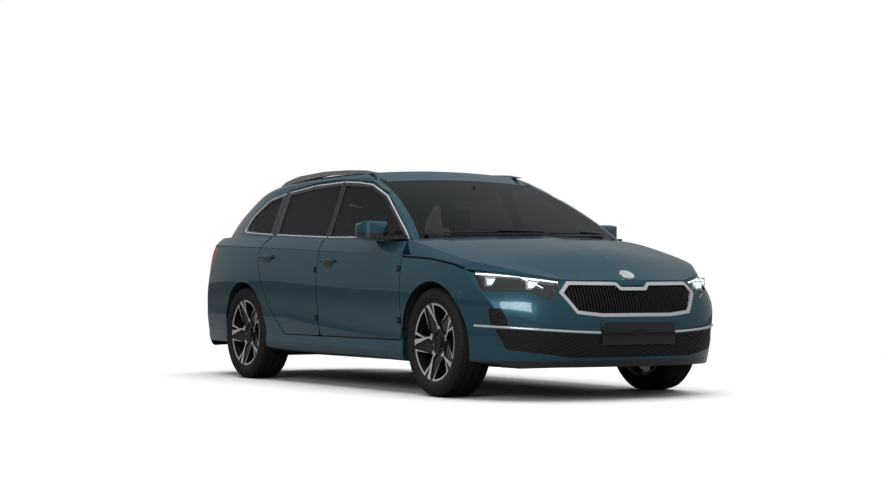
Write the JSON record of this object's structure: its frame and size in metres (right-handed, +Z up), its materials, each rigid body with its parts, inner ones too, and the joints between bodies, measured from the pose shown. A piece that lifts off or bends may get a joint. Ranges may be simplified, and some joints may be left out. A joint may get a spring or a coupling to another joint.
{
  "type": "station wagon",
  "caption": "Mid-size estate car with opening doors, bonnet and tailgate, steered front wheels and turning wheels.",
  "frame": {"origin": "on the ground under the middle of the overall length and width", "axes": "+X forward, +Y to the left of the car, +Z up"},
  "size_m": [4.6989, 2.0132, 1.4659],
  "materials": {
    "body_paint": "gloss",
    "inner_trim": "matte",
    "underbody": "matte",
    "hinge_steel": "satin",
    "engine_alloy": "satin",
    "tinted_glass": "gloss",
    "clear_lens": "gloss",
    "bright_trim": "gloss",
    "black_trim": "gloss",
    "red_lens": "gloss",
    "seat_cloth": "matte",
    "rail_silver": "satin",
    "alloy_wheel": "satin",
    "tyre_rubber": "matte"
  },
  "bodies": {
    "body": {"body_side_right": "body_paint", "body_side_left": "body_paint", "side_frames": "inner_trim", "lid_and_door_hinges": "hinge_steel", "roof_panel": "body_paint", "fixed_windows": "tinted_glass", "floor_pan": "underbody", "bulkhead": "inner_trim", "cowl": "inner_trim", "wheelhouses": "underbody", "front_fenders": "body_paint", "front_bumper": "body_paint", "grille_surround": "bright_trim", "front_grille": "black_trim", "bumper_grilles": "black_trim", "headlamps": "black_trim", "headlamp_lenses": "clear_lens", "rear_bumper": "body_paint", "tail_panel": "underbody", "tail_lamps": "red_lens", "front_subframe": "hinge_steel", "engine_block": "engine_alloy", "rear_axle": "hinge_steel", "exhaust": "hinge_steel", "front_seats": "seat_cloth", "rear_seat": "seat_cloth", "dashboard": "inner_trim", "roof_rails": "rail_silver"},
    "bonnet": {"bonnet": "body_paint"},
    "tailgate": {"tailgate": "body_paint", "tailgate_glass": "tinted_glass"},
    "steering_wheel": {"steering_wheel": "inner_trim"},
    "front_door_right": {"front_door_right": "body_paint", "front_door_glass_right": "tinted_glass", "door_mirror_right": "body_paint"},
    "rear_door_right": {"rear_door_right": "body_paint", "rear_door_glass_right": "tinted_glass"},
    "front_knuckle_right": {"front_knuckle_right": "hinge_steel"},
    "front_wheel_right": {"front_rim_right": "alloy_wheel", "front_tyre_right": "tyre_rubber"},
    "rear_wheel_right": {"rear_rim_right": "alloy_wheel", "rear_tyre_right": "tyre_rubber"},
    "front_door_left": {"front_door_left": "body_paint", "front_door_glass_left": "tinted_glass", "door_mirror_left": "body_paint"},
    "rear_door_left": {"rear_door_left": "body_paint", "rear_door_glass_left": "tinted_glass"},
    "front_knuckle_left": {"front_knuckle_left": "hinge_steel"},
    "front_wheel_left": {"front_rim_left": "alloy_wheel", "front_tyre_left": "tyre_rubber"},
    "rear_wheel_left": {"rear_rim_left": "alloy_wheel", "rear_tyre_left": "tyre_rubber"}
  },
  "joints": [
    {"name": "steer_right", "type": "hinge", "parent": "body", "child": "front_knuckle_right", "pos_m": [1.469, -0.698, 0.33], "axis": [0, 0, 1], "range_deg": [-32, 32]},
    {"name": "front_wheel_spin_right", "type": "hinge", "parent": "front_knuckle_right", "child": "front_wheel_right", "pos_m": [1.469, -0.77, 0.33], "axis": [0, 1, 0], "continuous": true},
    {"name": "rear_wheel_spin_right", "type": "hinge", "parent": "body", "child": "rear_wheel_right", "pos_m": [-1.217, -0.77, 0.33], "axis": [0, 1, 0], "continuous": true},
    {"name": "front_door_swing_right", "type": "hinge", "parent": "body", "child": "front_door_right", "pos_m": [1.072, -0.889, 0.615], "axis": [0, 0, 1], "range_deg": [0, 65]},
    {"name": "rear_door_swing_right", "type": "hinge", "parent": "body", "child": "rear_door_right", "pos_m": [-0.045, -0.895, 0.615], "axis": [0, 0, 1], "range_deg": [0, 65]},
    {"name": "steer_left", "type": "hinge", "parent": "body", "child": "front_knuckle_left", "pos_m": [1.469, 0.698, 0.33], "axis": [0, 0, 1], "range_deg": [-32, 32]},
    {"name": "front_wheel_spin_left", "type": "hinge", "parent": "front_knuckle_left", "child": "front_wheel_left", "pos_m": [1.469, 0.77, 0.33], "axis": [0, 1, 0], "continuous": true},
    {"name": "rear_wheel_spin_left", "type": "hinge", "parent": "body", "child": "rear_wheel_left", "pos_m": [-1.217, 0.77, 0.33], "axis": [0, 1, 0], "continuous": true},
    {"name": "front_door_swing_left", "type": "hinge", "parent": "body", "child": "front_door_left", "pos_m": [1.072, 0.889, 0.615], "axis": [0, 0, -1], "range_deg": [0, 65]},
    {"name": "rear_door_swing_left", "type": "hinge", "parent": "body", "child": "rear_door_left", "pos_m": [-0.045, 0.895, 0.615], "axis": [0, 0, -1], "range_deg": [0, 65]},
    {"name": "bonnet_lift", "type": "hinge", "parent": "body", "child": "bonnet", "pos_m": [1.112, 0, 0.93], "axis": [0, -1, 0], "range_deg": [0, 50]},
    {"name": "tailgate_lift", "type": "hinge", "parent": "body", "child": "tailgate", "pos_m": [-1.84, 0, 1.361], "axis": [0, 1, 0], "range_deg": [0, 75]},
    {"name": "steering_wheel_turn", "type": "hinge", "parent": "body", "child": "steering_wheel", "pos_m": [0.56, 0.37, 0.905], "axis": [-0.9135, 0, 0.4067], "range_deg": [-448, 448]}
  ],
  "couplings": [
    {"joint": "steer_left", "follows": "steer_right", "ratio": 1},
    {"joint": "steering_wheel_turn", "follows": "steer_right", "ratio": 14}
  ]
}
